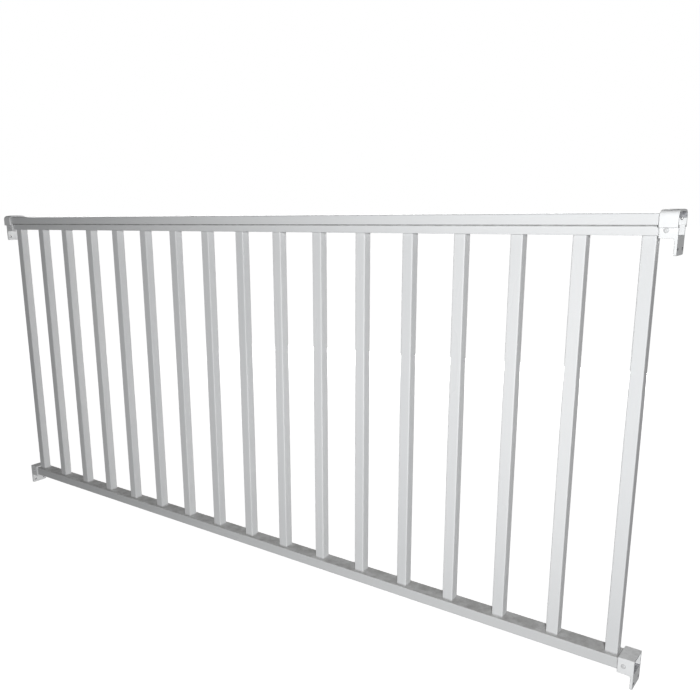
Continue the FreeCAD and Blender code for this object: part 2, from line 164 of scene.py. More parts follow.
def mix_value(tree, amount, low, high):
    """One number blended into another."""
    return add(tree, "ShaderNodeMix", {0: amount, 2: low, 3: high}).outputs[0]


def noise(tree, place, scale, detail, roughness):
    """A noise between 0 and 1."""
    return add(tree, "ShaderNodeTexNoise", {
        "Vector": place, "Scale": scale, "Detail": detail, "Roughness": roughness,
    }).outputs[0]


def object_place(tree):
    """Where a point is on the object itself."""
    return add(tree, "ShaderNodeTexCoord").outputs["Object"]


def surface_normal(tree):
    """The way that a point of the surface looks."""
    return add(tree, "ShaderNodeNewGeometry").outputs["Normal"]


def new_group(name, inputs, outputs):
    """An empty shader group. inputs and outputs are lists of (name, kind, value)."""
    group = bpy.data.node_groups.new(name, "ShaderNodeTree")
    for label, kind, value in inputs:
        socket = group.interface.new_socket(label, in_out="INPUT", socket_type="NodeSocket" + kind)
        socket.default_value = value
    for label, kind in outputs:
        group.interface.new_socket(label, in_out="OUTPUT", socket_type="NodeSocket" + kind)
    start = group.nodes.new("NodeGroupInput")
    end = group.nodes.new("NodeGroupOutput")
    return group, start.outputs, end.inputs


def use(tree, group, inputs):
    """The outputs of a shared group, placed in a tree."""
    return add(tree, "ShaderNodeGroup", inputs, node_tree=group).outputs


def new_material(name):
    """An empty material and its tree."""
    material = bpy.data.materials.new(name)
    material.use_nodes = True
    material.node_tree.nodes.clear()
    return material, material.node_tree


print("node helpers ready")

# %% [markdown]
# ## The floor and the background
#
# The photograph has no surroundings: the railing stands on pure white. A floor that is lit
# until it turns white would also flood the railing with light and bleach it. So the floor is
# an ordinary pale surface for the light that bounces, and only the rays that show it, directly
# or through something clear, see it as white. Mirrored in the coat it is much dimmer, as a real
# room would be. Near the railing a little of the shaded surface stays in that white, and so a
# soft shadow is left. Further out the white is complete, and no horizon shows.

# %% Floor and world
FLOOR_SIZE = 60.0
FLOOR_COLOUR = (0.38, 0.38, 0.38, 1.0)
SHADE_COLOUR = (0.30, 0.30, 0.30, 1.0)
WHITE = (1.0, 1.0, 1.0, 1.0)
NEAR_WHITE = 0.95
FADE_START = 1.3
FADE_END = 2.8
AMBIENT = 0.08
MIRRORED = 0.12


def whiteness(tree):
    """How white a ray sees the background: fully where it shows, faintly where it is mirrored."""
    path = add(tree, "ShaderNodeLightPath").outputs
    shown = math_node(tree, "MAXIMUM", path["Is Camera Ray"], path["Is Transmission Ray"])
    mirrored = math_node(tree, "MULTIPLY", path["Is Glossy Ray"], MIRRORED)
    return math_node(tree, "MAXIMUM", shown, mirrored)


floor_mesh = bpy.data.meshes.new("floor")
reach = FLOOR_SIZE / 2
corners = [(-reach, -reach), (reach, -reach), (reach, reach), (-reach, reach)]
floor_mesh.from_pydata([(length / 2 + x, y, floor_height) for x, y in corners], [], [(0, 1, 2, 3)])
floor = bpy.data.objects.new("floor", floor_mesh)
scene.collection.objects.link(floor)

floor_material, tree = new_material("floor_pale")
away = vector_node(tree, "DISTANCE", object_place(tree), (length / 2, 0.0, floor_height), "Value")
glow = add(tree, "ShaderNodeEmission", {
    "Color": WHITE, "Strength": ramp(tree, away, FADE_START, FADE_END, NEAR_WHITE, 1.0),
})
matt = add(tree, "ShaderNodeBsdfDiffuse", {"Color": FLOOR_COLOUR})
shade = add(tree, "ShaderNodeBsdfDiffuse", {"Color": SHADE_COLOUR})
both = add(tree, "ShaderNodeAddShader", {0: shade.outputs[0], 1: glow.outputs[0]})
choice = add(tree, "ShaderNodeMixShader", {0: whiteness(tree), 1: matt.outputs[0], 2: both.outputs[0]})
add(tree, "ShaderNodeOutputMaterial", {"Surface": choice.outputs[0]})
floor_mesh.materials.append(floor_material)

world = bpy.data.worlds.new("white_room")
world.use_nodes = True
scene.world = world
tree = world.node_tree
tree.nodes.clear()
strength = mix_value(tree, whiteness(tree), AMBIENT, 1.0)
sky = add(tree, "ShaderNodeBackground", {"Color": WHITE, "Strength": strength})
add(tree, "ShaderNodeOutputWorld", {"Surface": sky.outputs[0]})
print("floor and world ready, ambient light", AMBIENT)

# %% [markdown]
# ## The lamps
#
# In the photograph the front faces at the right are almost white and fade to a mid grey at
# the left, while every face that looks up is darker. That is the mark of one light close to
# the camera: it falls off with the square of the distance, and its beam is weaker towards its
# own edges, so that the near end isn't bleached. A soft square lamp with a narrowed spread
# stands there, and it is a touch cool. It lights the matt part of the coat only. A larger and
# much weaker lamp in the same place is the one that shows in the gloss, so that edges sparkle
# and no face burns out when it is seen from behind. A long lamp low behind the railing does
# nothing for the photograph's view, but keeps the back as white as the front.
#
# The top of the cap is white in the photograph, although it faces up. It is seen so flat
# along its surface that it mirrors whatever is pale behind it. A large pale sheet of light
# stands far behind, low over the horizon, where the cap mirrors it and the bottom rail, seen
# more steeply, doesn't. It is left out of plain diffuse light, so only the mirrored part is
# added.

# %% Lamps
KEY_PLACE = Vector((2.69, -1.7274, 1.065))
KEY_AIM = Vector((1.02, 0.0, 0.34))
KEY_SIZE = (0.30, 0.30)
KEY_POWER = 23.7
KEY_SPREAD = math.radians(130.0)
KEY_COLOUR = (0.975, 0.99, 1.0)
GLINT_SIZE = (1.1, 1.1)
GLINT_POWER = 2.5
BACK_PLACE = Vector((0.5, 3.0, 0.15))
BACK_AIM = Vector((1.04, 0.0, 0.5))
BACK_SIZE = (3.0, 0.28)
BACK_POWER = 100.0
SHEET_PLACE = Vector((-9.6, 12.0, 2.8))
SHEET_AIM = Vector((-9.6, 0.0, 2.8))
SHEET_SIZE = (17.8, 3.8)
SHEET_POWER = 461.0


def soft_lamp(name, place, aim, size, power, in_matt=True, in_gloss=True):
    """A rectangular lamp that the camera doesn't see, and that may light matt or gloss alone."""
    data = bpy.data.lights.new(name, "AREA")
    data.shape = "RECTANGLE"
    data.size, data.size_y = size
    data.energy = power
    lamp = bpy.data.objects.new(name, data)
    turn = (aim - place).to_track_quat("-Z", "Y").to_matrix().to_4x4()
    lamp.matrix_world = Matrix.Translation(place) @ turn
    lamp.visible_camera = False
    lamp.visible_diffuse = in_matt
    lamp.visible_glossy = in_gloss
    scene.collection.objects.link(lamp)
    return lamp


key_lamp = soft_lamp("key_lamp", KEY_PLACE, KEY_AIM, KEY_SIZE, KEY_POWER, in_gloss=False)
key_lamp.data.spread = KEY_SPREAD
key_lamp.data.color = KEY_COLOUR
soft_lamp("glint_lamp", KEY_PLACE, KEY_AIM, GLINT_SIZE, GLINT_POWER, in_matt=False)
soft_lamp("back_lamp", BACK_PLACE, BACK_AIM, BACK_SIZE, BACK_POWER, in_gloss=False)
soft_lamp("sheet_lamp", SHEET_PLACE, SHEET_AIM, SHEET_SIZE, SHEET_POWER, in_matt=False)
print("lamps:", KEY_POWER, "W in front,", BACK_POWER, "W behind,", SHEET_POWER, "W mirrored")

# %% [markdown]
# ## What a powder coat is made of
#
# Powder is sprayed on dry and melted in an oven. It flows, but never quite flat: the skin
# keeps a fine ripple like the peel of an orange. Where the powder was a little thicker or
# thinner the white shifts slightly, and whatever faces up is greyed by dust and painted shade.
# Each of those is one shared group, so that all the materials can use them at their own
# strength.

# %% Group: orange peel
def make_peel_group():
    """Height of the coat's ripple. Scale is ripples to the metre."""
    group, start, end = new_group(
        "coat_peel",
        [("Scale", "Float", 500.0), ("Stretch", "Vector", (1.0, 1.0, 1.0))],
        [("Height", "Float")],
    )
    place = vector_node(group, "MULTIPLY", object_place(group), start["Stretch"])
    ripple = noise(group, place, start["Scale"], 2.0, 0.45)
    swell = noise(group, place, math_node(group, "MULTIPLY", start["Scale"], 0.23), 1.0, 0.4)
    group.links.new(mix_value(group, 0.4, ripple, swell), end["Height"])
    return group


peel_group = make_peel_group()
print("made", peel_group.name)

# %% Group: uneven coat
def make_cloud_group():
    """Soft patches, from 0 to 1, where the coat is thicker or thinner."""
    group, start, end = new_group(
        "coat_clouds",
        [("Scale", "Float", 6.0), ("Stretch", "Vector", (1.0, 1.0, 1.0))],
        [("Patches", "Float")],
    )
    place = vector_node(group, "MULTIPLY", object_place(group), start["Stretch"])
    cloud = noise(group, place, start["Scale"], 4.0, 0.55)
    group.links.new(ramp(group, cloud, 0.3, 0.7), end["Patches"])
    return group


cloud_group = make_cloud_group()
print("made", cloud_group.name)

# %% Group: dust and painted shade on upward faces
def make_dust_and_shade_group():
    """How much dust and painted shade a face gets: none on a wall, most on a face that looks straight up.
    """
    group, start, end = new_group(
        "settled_dust_and_shade",
        [("Amount", "Float", 0.5), ("Scale", "Float", 40.0)],
        [("Dust And Shade", "Float")],
    )
    lift = add(group, "ShaderNodeSeparateXYZ", {0: surface_normal(group)}).outputs["Z"]
    facing_up = ramp(group, lift, 0.55, 0.98)
    speckle = noise(group, object_place(group), start["Scale"], 6.0, 0.7)
    uneven = ramp(group, speckle, 0.25, 0.75, low=0.35)
    dust_and_shade = math_node(group, "MULTIPLY", math_node(group, "MULTIPLY", facing_up, uneven), start["Amount"])
    group.links.new(dust_and_shade, end["Dust And Shade"])
    return group


dust_and_shade_group = make_dust_and_shade_group()
print("made", dust_and_shade_group.name)

# %% [markdown]
# ## Grime and painted shade in the joints
#
# Rain washes dust into every narrow place, and it stays there. On this railing that is the
# open groove between the two parts of the top rail, which shows as one dark line along its
# whole length, and the foot of each picket; both are darkened partly as grime and partly as
# painted shade of the narrow joint. Both lie at a known height, so the group asks only for
# the height where the surface is clean and the height where it is darkest.

# %% Group: grime and painted shade by height
def make_grime_and_shade_group():
    """Grime and painted shade that grow from the height Clean to the height Darkest, in uneven streaks."""
    group, start, end = new_group(
        "joint_grime_and_shade",
        [("Clean", "Float", 0.0), ("Darkest", "Float", 1.0), ("Amount", "Float", 0.5)],
        [("Grime And Shade", "Float")],
    )
    place = object_place(group)
    height = add(group, "ShaderNodeSeparateXYZ", {0: place}).outputs["Z"]
    near = ramp(group, height, start["Clean"], start["Darkest"])
    streaks = ramp(group, noise(group, place, 60.0, 3.0, 0.6), 0.3, 0.65, low=0.65)
    grime_and_shade = math_node(group, "MULTIPLY", math_node(group, "MULTIPLY", near, streaks), start["Amount"])
    group.links.new(grime_and_shade, end["Grime And Shade"])
    return group


grime_and_shade_group = make_grime_and_shade_group()
print("made", grime_and_shade_group.name)

# %% [markdown]
# ## Bare metal where the coat stops
#
# The rails are coated as long bars and sawn to length afterwards, and the spray hardly
# reaches the inside of a tube. So the sawn ends and the inner walls are plain aluminium. The
# solids carry no such marking, but it can be worked out: on the outside of a tube the surface
# looks away from its middle line, and on the inside it looks towards it. The sign of one dot
# product tells them apart.

# %% Group: bare metal in a rail
def make_bare_group():
    """1 on the inner walls and sawn ends of a rail that runs along X, and 0 on its outside."""
    group, start, end = new_group(
        "bare_metal",
        [("Axis", "Vector", (0.0, 0.0, 0.0)), ("Half Length", "Float", 1.0), ("Saw Edge", "Float", 0.0001)],
        [("Bare", "Float")],
    )
    away = vector_node(group, "SUBTRACT", object_place(group), start["Axis"])
    across = vector_node(group, "MULTIPLY", away, (0.0, 1.0, 1.0))
    outward = vector_node(group, "DOT_PRODUCT", across, surface_normal(group), "Value")
    inner = math_node(group, "LESS_THAN", outward, -1e-5)
    along = add(group, "ShaderNodeSeparateXYZ", {0: away}).outputs["X"]
    last = math_node(group, "SUBTRACT", start["Half Length"], start["Saw Edge"])
    sawn = math_node(group, "GREATER_THAN", math_node(group, "ABSOLUTE", along), last)
    group.links.new(math_node(group, "MAXIMUM", inner, sawn), end["Bare"])
    return group


bare_group = make_bare_group()
print("made", bare_group.name)

# %% [markdown]
# ## Softened edges
#
# No real edge is perfectly sharp, and on a glossy coat the tiny rounding is what catches the
# light. The Bevel node looks at the surface just around each point and bends the normal
# towards its neighbours, which draws that thin highlight. The same comparison shows where the
# edges are, and the coats lighten them a shade: a painted highlight along every edge.

# %% Group: softened edges
def make_edge_group():
    """A normal that is rounded at the edges, and a mask of the edges themselves."""
    group, start, end = new_group(
        "soft_edges",
        [("Radius", "Float", 0.0006), ("Gain", "Float", 3.0)],
        [("Normal", "Vector"), ("Edge", "Float")],
    )
    rounded = add(group, "ShaderNodeBevel", {"Radius": start["Radius"]}, samples=4).outputs[0]
    alike = vector_node(group, "DOT_PRODUCT", rounded, surface_normal(group), "Value")
    bent = math_node(group, "SUBTRACT", 1.0, alike)
    edge = math_node(group, "MULTIPLY", bent, start["Gain"], clamp=True)
    group.links.new(rounded, end["Normal"])
    group.links.new(edge, end["Edge"])
    return group


edge_group = make_edge_group()
print("made", edge_group.name)

# %% [markdown]
# ## The coat materials
#
# Every material here ends the same way: a fine relief bends the normal, and one Principled
# shader takes the colour, the roughness and a thin clear gloss on top. Only what feeds it
# differs, so the end is written once.

# %% The end of every material
PAINT_IOR = 1.5
SKIN_ROUGHNESS = 0.12
DUST_ROUGHNESS = 0.8


def finish_surface(tree, colour, shine, metal, relief, depth, normal, gloss):
    """Adds the relief, the shader and the output to a material's tree."""
    bump = add(tree, "ShaderNodeBump", {
        "Strength": 1.0, "Distance": depth, "Height": relief, "Normal": normal,
    })
    surface = add(tree, "ShaderNodeBsdfPrincipled", {
        "Base Color": colour, "Roughness": shine, "Metallic": metal, "Normal": bump.outputs[0],
        "IOR": PAINT_IOR, "Coat Weight": gloss, "Coat Roughness": SKIN_ROUGHNESS,
    })
    add(tree, "ShaderNodeOutputMaterial", {"Surface": surface.outputs[0]})


def grey(level, warmth=0.0):
    """A near-white colour, a touch warmer or cooler."""
    return (level + warmth, level, level - warmth, 1.0)


print("surface recipe ready")

# %% [markdown]
# Rails and pickets are extruded: the metal is pressed through a die, which leaves faint lines
# along the length. So they share one coat, whose ripple and patches are stretched that way.
# Dust with painted shade on upward faces is mixed in after the white, then bare metal, and grime
# with painted shade, where a piece has them.

# %% Coat material
ALUMINIUM = (0.62, 0.62, 0.63, 1.0)
# colour of dust mixed with painted shade on upward faces
DUST_AND_SHADE_TINT = (0.36, 0.352, 0.34, 1.0)
# colour of grime mixed with painted shade in the narrow joints
GRIME_AND_SHADE_TINT = (0.09, 0.085, 0.08, 1.0)
# painted highlight: the colour that the coat's edges are lightened towards
PAINTED_EDGE_HIGHLIGHT = (0.95, 0.95, 0.96, 1.0)
EDGE_HIGHLIGHT_STRENGTH = 0.5
METAL_ROUGHNESS = 0.42
GRIME_ROUGHNESS = 0.9
COAT_ROUGHNESS = (0.33, 0.25)
COAT_GLOSS = 0.6
COAT_PATCHES = 7.0
COAT_DUST = 45.0
COAT_RIPPLES = 620.0
COAT_RELIEF = 0.00003
ALONG_X = (0.12, 1.0, 1.0)
ALONG_Z = (1.0, 1.0, 0.12)
EVEN = (1.0, 1.0, 1.0)


def make_coat(name, white, patch, stretch, dust_and_shade, edge_radius, bare=None, grime_and_shade=None):
    """A coat on an extrusion. white and patch are the tones of its uneven thickness, bare gives
    the middle and half the length of a rail whose inside and ends are not coated, and
    grime_and_shade gives a clean height, a darkest height and an amount of grime with painted
    shade."""
    material, tree = new_material(name)
    clouds = use(tree, cloud_group, {"Scale": COAT_PATCHES, "Stretch": stretch})["Patches"]
    soft = use(tree, edge_group, {"Radius": edge_radius, "Gain": 2.0})
    edge = math_node(tree, "MULTIPLY", soft["Edge"], EDGE_HIGHLIGHT_STRENGTH)
    top_dust_and_shade = use(tree, dust_and_shade_group, {"Amount": dust_and_shade, "Scale": COAT_DUST})["Dust And Shade"]
    colour = mix_colour(tree, clouds, patch, white)
    # painted highlight along the edges of the coat
    colour = mix_colour(tree, edge, colour, PAINTED_EDGE_HIGHLIGHT)
    # dust on upward faces, partly painted shade there
    colour = mix_colour(tree, top_dust_and_shade, colour, DUST_AND_SHADE_TINT)
    shine = mix_value(tree, clouds, *COAT_ROUGHNESS)
    shine = mix_value(tree, top_dust_and_shade, shine, DUST_ROUGHNESS)
    metal = 0.0
    if bare is not None:
        middle, half_length = bare
        metal = use(tree, bare_group, {"Axis": middle, "Half Length": half_length})["Bare"]
        colour = mix_colour(tree, metal, colour, ALUMINIUM)
        shine = mix_value(tree, metal, shine, METAL_ROUGHNESS)
    if grime_and_shade is not None:
        clean, darkest, amount = grime_and_shade
        mask = use(tree, grime_and_shade_group, {"Clean": clean, "Darkest": darkest, "Amount": amount})["Grime And Shade"]
        # grime with painted shade: the groove and the picket feet are darkened
        colour = mix_colour(tree, mask, colour, GRIME_AND_SHADE_TINT)
        shine = mix_value(tree, mask, shine, GRIME_ROUGHNESS)
    peel = use(tree, peel_group, {"Scale": COAT_RIPPLES, "Stretch": stretch})["Height"]
    finish_surface(tree, colour, shine, metal, peel, COAT_RELIEF, soft["Normal"], COAT_GLOSS)
    return material


print("coat recipe ready")

# %% [markdown]
# The rails differ in more than their name. The cap's top is wiped by hands and sleeves and
# keeps its gloss, and the bottom rail's top is darkened most, by dust and painted shade. The groove
# starts where the channel steps in under the cap, and every picket's foot stands on the bottom
# rail, and both are darkened by grime and painted shade.

# %% Coats for rails and pickets
GROOVE_HEIGHT = 0.0031
GROOVE_LIP = 0.0002
GROOVE_GRIME_AND_SHADE = 0.62
FOOT_REACH = 0.005
FOOT_GRIME_AND_SHADE = 0.35
PATCH_DROP = 0.03
PATCH_COOLNESS = -0.003
RAIL_EDGE = 0.0007
PICKET_EDGE = 0.0015

cap_base = boxes["top_rail_cap"][0].z
rail_top = boxes["bottom_rail"][1].z
groove_floor = cap_base - GROOVE_HEIGHT
# the band in the groove is darkened: grime together with painted shade under the cap's edge
groove = (groove_floor + GROOVE_LIP, groove_floor + 3 * GROOVE_LIP, GROOVE_GRIME_AND_SHADE)
rail_white = {"bottom_rail": 0.74, "top_rail_channel": 0.83, "top_rail_cap": 0.84}
# dust on each rail's upward faces, which is also painted shade there
rail_dust_and_shade = {"bottom_rail": 0.9, "top_rail_channel": 0.15, "top_rail_cap": 0.1}
rail_grime_and_shade = {"top_rail_channel": groove}

coats = {}
for name in rails:
    low, high = boxes[name]
    white = rail_white[name]
    coats[name] = make_coat(
        "rail_coat_" + name, grey(white), grey(white - PATCH_DROP, PATCH_COOLNESS), ALONG_X,
        rail_dust_and_shade[name], RAIL_EDGE, bare=(tuple((low + high) / 2), (high.x - low.x) / 2),
        grime_and_shade=rail_grime_and_shade.get(name),
    )
# each picket is darkened just above its foot: grime together with painted shade where it meets the bottom
# rail
picket_coat = make_coat(
    "picket_coat", grey(0.83), grey(0.79, PATCH_COOLNESS), ALONG_Z, 0.2, PICKET_EDGE,
    grime_and_shade=(rail_top + FOOT_REACH, rail_top, FOOT_GRIME_AND_SHADE),
)
print("coats made:", len(coats) + 1)

# %% [markdown]
# ## The castings
#
# The roof of the upper sleeve and the floor of both sleeves are painted a mottled dark grey, as
# painted shade inside the sleeves where little light gets in. The holes are painted dark, which
# is painted shade inside them, and a dark ring is painted round each screw's flange where it
# meets the sleeve. Each of these marks lies round a known point, and both ends of the railing
# mirror each other. So a place is first folded over the railing's middle, and then its distance
# to the point is measured, with one direction left out where the mark goes straight through.

# %% Groups: painted sleeve shade and marked holes
def make_sleeve_shade_group():
    """1 on a sleeve's inner surfaces between two heights, and 0 elsewhere."""
    group, start, end = new_group(
        "painted_sleeve_shade",
        [("Axis Height", "Float", 0.0), ("Bottom", "Float", 0.0), ("Top", "Float", 1.0)],
        [("Raw", "Float")],
    )
    place = add(group, "ShaderNodeSeparateXYZ", {0: object_place(group)})
    height = place.outputs["Z"]
    above = math_node(group, "SUBTRACT", height, start["Axis Height"])
    away = add(group, "ShaderNodeCombineXYZ", {1: place.outputs["Y"], 2: above}).outputs[0]
    outward = vector_node(group, "DOT_PRODUCT", away, surface_normal(group), "Value")
    inner = math_node(group, "LESS_THAN", outward, -0.0005)
    over = math_node(group, "GREATER_THAN", height, start["Bottom"])
    under = math_node(group, "LESS_THAN", height, start["Top"])
    between = math_node(group, "MULTIPLY", over, under)
    group.links.new(math_node(group, "MULTIPLY", inner, between), end["Raw"])
    return group


def make_ring_group():
    """1 within Near of a point and 0 beyond Far, at both ends. Plane can leave out an axis."""
    group, start, end = new_group(
        "marked_hole",
        [("Point", "Vector", (0.0, 0.0, 0.0)), ("Plane", "Vector", (0.0, 1.0, 1.0)),
         ("Near", "Float", 0.003), ("Far", "Float", 0.004)],
        [("Mark", "Float")],
    )
    place = add(group, "ShaderNodeSeparateXYZ", {0: object_place(group)}).outputs
    along = math_node(group, "ABSOLUTE", math_node(group, "SUBTRACT", place["X"], length / 2))
    folded = add(group, "ShaderNodeCombineXYZ", {0: along, 1: place["Y"], 2: place["Z"]})
    offset = vector_node(group, "SUBTRACT", folded.outputs[0], start["Point"])
    flat = vector_node(group, "MULTIPLY", offset, start["Plane"])
    away = vector_node(group, "LENGTH", flat, (0.0, 0.0, 0.0), "Value")
    group.links.new(ramp(group, away, start["Far"], start["Near"]), end["Mark"])
    return group


sleeve_shade_group = make_sleeve_shade_group()
ring_group = make_ring_group()
print("made", sleeve_shade_group.name, "and", ring_group.name)

# %% Casting material
# mottled grey of the painted shade inside the sleeves
CAST_DARK = (0.20, 0.20, 0.21, 1.0)
CAST_LIGHT = (0.52, 0.52, 0.54, 1.0)
# dark tint for the painted shade in the holes and for the dark ring round each screw
HOLE_TINT = (0.05, 0.05, 0.055, 1.0)
CAST_WHITE = 0.96
CAST_PATCH = 0.93
CAST_PATCHES = 30.0
CAST_MOTTLE = 260.0
CAST_EDGE = 0.0008
CAST_DUST_AMOUNT = 0.45
CAST_DUST = 90.0
CAST_ROUGHNESS = 0.34
SLEEVE_INSIDE_ROUGHNESS = 0.55
CAST_RIPPLES = 420.0
CAST_RELIEF = 0.00008
CAST_GLOSS = 0.3


def make_casting(name, axis_height, shade_ranges, marks):
    """A sprayed casting. shade_ranges lists the heights between which the inside gets painted
    shade, and marks lists the dark spots as a point, a plane, a near and a far distance and a strength."""
    material, tree = new_material(name)
    clouds = use(tree, cloud_group, {"Scale": CAST_PATCHES, "Stretch": EVEN})["Patches"]
    mottle = use(tree, cloud_group, {"Scale": CAST_MOTTLE, "Stretch": EVEN})["Patches"]
    soft = use(tree, edge_group, {"Radius": CAST_EDGE, "Gain": 2.0})
    top_dust_and_shade = use(tree, dust_and_shade_group, {"Amount": CAST_DUST_AMOUNT, "Scale": CAST_DUST})["Dust And Shade"]
    colour = mix_colour(tree, clouds, grey(CAST_PATCH), grey(CAST_WHITE))
    colour = mix_colour(tree, top_dust_and_shade, colour, DUST_AND_SHADE_TINT)
    sleeve_shade = 0.0
    for bottom, top in shade_ranges:
        part = use(tree, sleeve_shade_group, {"Axis Height": axis_height, "Bottom": bottom, "Top": top})["Raw"]
        sleeve_shade = math_node(tree, "MAXIMUM", sleeve_shade, part)
    # painted shade: the sleeve's roof and floor are darkened to a mottled grey
    colour = mix_colour(tree, sleeve_shade, colour, mix_colour(tree, mottle, CAST_DARK, CAST_LIGHT))
    for point, plane, near, far, amount in marks:
        mark = use(tree, ring_group, {"Point": point, "Plane": plane, "Near": near, "Far": far})["Mark"]
        # painted shade in the holes, and a dark ring round each screw's flange
        colour = mix_colour(tree, math_node(tree, "MULTIPLY", mark, amount), colour, HOLE_TINT)
    shine = mix_value(tree, sleeve_shade, CAST_ROUGHNESS, SLEEVE_INSIDE_ROUGHNESS)
    shine = mix_value(tree, top_dust_and_shade, shine, DUST_ROUGHNESS)
    peel = use(tree, peel_group, {"Scale": CAST_RIPPLES, "Stretch": EVEN})["Height"]
    finish_surface(tree, colour, shine, 0.0, peel, CAST_RELIEF, soft["Normal"], CAST_GLOSS)
    return material


print("casting recipe ready")

# %% [markdown]
# The places of the marks are known from how the brackets are drilled: two holes in each tab,
# one screw hole in each face of a sleeve, and a small pin hole in the back of the upper ones.
# Each kind of mark has its own spread: how far it is full, where it ends, and how strong it is.

# %% Coats for the brackets
POST_TO_SCREW = 0.020
POST_TO_PIN = 0.008
SCREW_RISE = 0.0094
TAB_HOLE_SIDE = 0.0165
UPPER_TAB_HOLE = 0.8636
LOWER_TAB_HOLE = 0.0
UPPER_AXIS = 0.910
# heights of the painted shade inside the sleeves
UPPER_ROOF = (0.917, 1.0)
UPPER_FLOOR = (0.88, 0.8874)
LOWER_FLOOR = (0.02, 0.0238)
PIN_SIDE = 0.0297
PIN_HEIGHT = 0.916
THROUGH_X = (0.0, 1.0, 1.0)
THROUGH_Y = (1.0, 0.0, 1.0)
# spreads of the painted shade in the holes and of the dark ring round each screw
TAB_HOLE_SPREAD = (0.0029, 0.0033, 1.0)
SCREW_SPREAD = (0.0040, 0.0056, 0.45)
PIN_SPREAD = (0.0029, 0.0038, 0.95)

channel_low, channel_high = boxes["top_rail_channel"]
lower_low, lower_high = boxes["bottom_rail"]
upper_screw = channel_low.z + SCREW_RISE
lower_screw = (lower_low.z + lower_high.z) / 2


def drilled_marks(tab_hole, screw):
    """The marks of one bracket: two tab holes and the ring round a set screw."""
    sides = (TAB_HOLE_SIDE, -TAB_HOLE_SIDE)
    marks = [((0.0, side, tab_hole), THROUGH_X, *TAB_HOLE_SPREAD) for side in sides]
    marks.append(((length / 2 - POST_TO_SCREW, 0.0, screw), THROUGH_Y, *SCREW_SPREAD))
    return marks


pin_mark = ((length / 2 - POST_TO_PIN, PIN_SIDE, PIN_HEIGHT), EVEN, *PIN_SPREAD)
upper_casting = make_casting(
    "bracket_coat_upper", UPPER_AXIS, [UPPER_ROOF, UPPER_FLOOR],
    drilled_marks(UPPER_TAB_HOLE, upper_screw) + [pin_mark],
)
lower_casting = make_casting(
    "bracket_coat_lower", lower_screw, [LOWER_FLOOR], drilled_marks(LOWER_TAB_HOLE, lower_screw),
)
print("screws at heights %.4f and %.4f m" % (upper_screw, lower_screw))

# %% Paint the pieces
def paint(name, material):
    """Gives a piece of the frame its material."""
    piece = nodes[name]
    if not piece.material_slots:
        piece.data.materials.append(material)
    for entry in piece.material_slots:
        entry.material = material


for name in rails:
    paint(name, coats[name])
for name in pickets:
    paint(name, picket_coat)
for name in brackets:
    paint(name, upper_casting if "top" in name else lower_casting)
print("painted", len(rails) + len(pickets) + len(brackets), "pieces")

# %% [markdown]
# ## One set screw
#
# A screw in the front and back of each sleeve bites into the rail and stops it from sliding
# out. It has a flat flange, a low round head with a cross recess and a threaded shank. All of
# that except the recess is round, so half of its outline is drawn once and turned about its own
# axis. The head's curve is a flattened circle: raising sine and cosine to a power below one
# pushes the shoulder out and keeps the middle flat.

# %% Draw the screw's outline
FLANGE_RADIUS = 0.0039
FLANGE_HEIGHT = 0.0006
DOME_RADIUS = 0.0034
DOME_HEIGHT = 0.0018
DOME_POWER = 0.72
DOME_STEPS = 9
THREAD_OUTER = 0.00205
THREAD_INNER = 0.00165
THREAD_PITCH = 0.0011
THREAD_TURNS = 4
SHANK_LENGTH = 0.0056
POINT_LENGTH = 0.0006
THREAD_START = 0.0008
UNDER_EDGE = 0.0001
UPPER_EDGE = 0.00015
TURN_STEPS = 40

outline = [(0.0, -SHANK_LENGTH), (THREAD_INNER, -SHANK_LENGTH + POINT_LENGTH)]
for number in range(THREAD_TURNS):
    level = -SHANK_LENGTH + THREAD_START + number * THREAD_PITCH
    outline += [(THREAD_INNER, level), (THREAD_OUTER, level + THREAD_PITCH / 2)]
outline += [(THREAD_INNER, -UNDER_EDGE), (FLANGE_RADIUS - UNDER_EDGE, 0.0)]
outline += [(FLANGE_RADIUS, UNDER_EDGE), (FLANGE_RADIUS, FLANGE_HEIGHT - UPPER_EDGE)]
outline += [(FLANGE_RADIUS - UPPER_EDGE, FLANGE_HEIGHT)]
for number in range(DOME_STEPS):
    angle = math.pi / 2 * number / DOME_STEPS
    outline.append((
        DOME_RADIUS * math.cos(angle) ** DOME_POWER,
        FLANGE_HEIGHT + DOME_HEIGHT * math.sin(angle) ** DOME_POWER,
    ))
head_top = FLANGE_HEIGHT + DOME_HEIGHT
outline.append((0.0, head_top))
print("outline of", len(outline), "points, head", round(head_top * 1000, 2), "mm high")

# %% Turn the outline
def lathe(name, points, steps):
    """A closed mesh, made by turning an outline of (radius, height) points about the Z axis."""
    shape = bmesh.new()
    rim = [shape.verts.new((radius, 0.0, height)) for radius, height in points]
    edges = [shape.edges.new(pair) for pair in zip(rim, rim[1:])]
    bmesh.ops.spin(shape, geom=rim + edges, cent=(0, 0, 0), axis=(0, 0, 1), angle=2 * math.pi, steps=steps)
    bmesh.ops.remove_doubles(shape, verts=shape.verts, dist=1e-7)
    bmesh.ops.recalc_face_normals(shape, faces=shape.faces)
    mesh = bpy.data.meshes.new(name)
    shape.to_mesh(mesh)
    shape.free()
    return mesh


screw_mesh = lathe("screw", outline, TURN_STEPS)
print("screw:", len(screw_mesh.vertices), "vertices,", len(screw_mesh.polygons), "faces")

# %% [markdown]
# ## Where the screws go
#
# The frame knows where the rails and brackets are. A screw stands a fixed way in from the post
# and its head lies on the sleeve's outer face, which is one wall and one clearance outside the
# rail that the sleeve holds. A small mesh with nothing but eight points records the places.

# %% Mark the places
SLEEVE = 0.0046

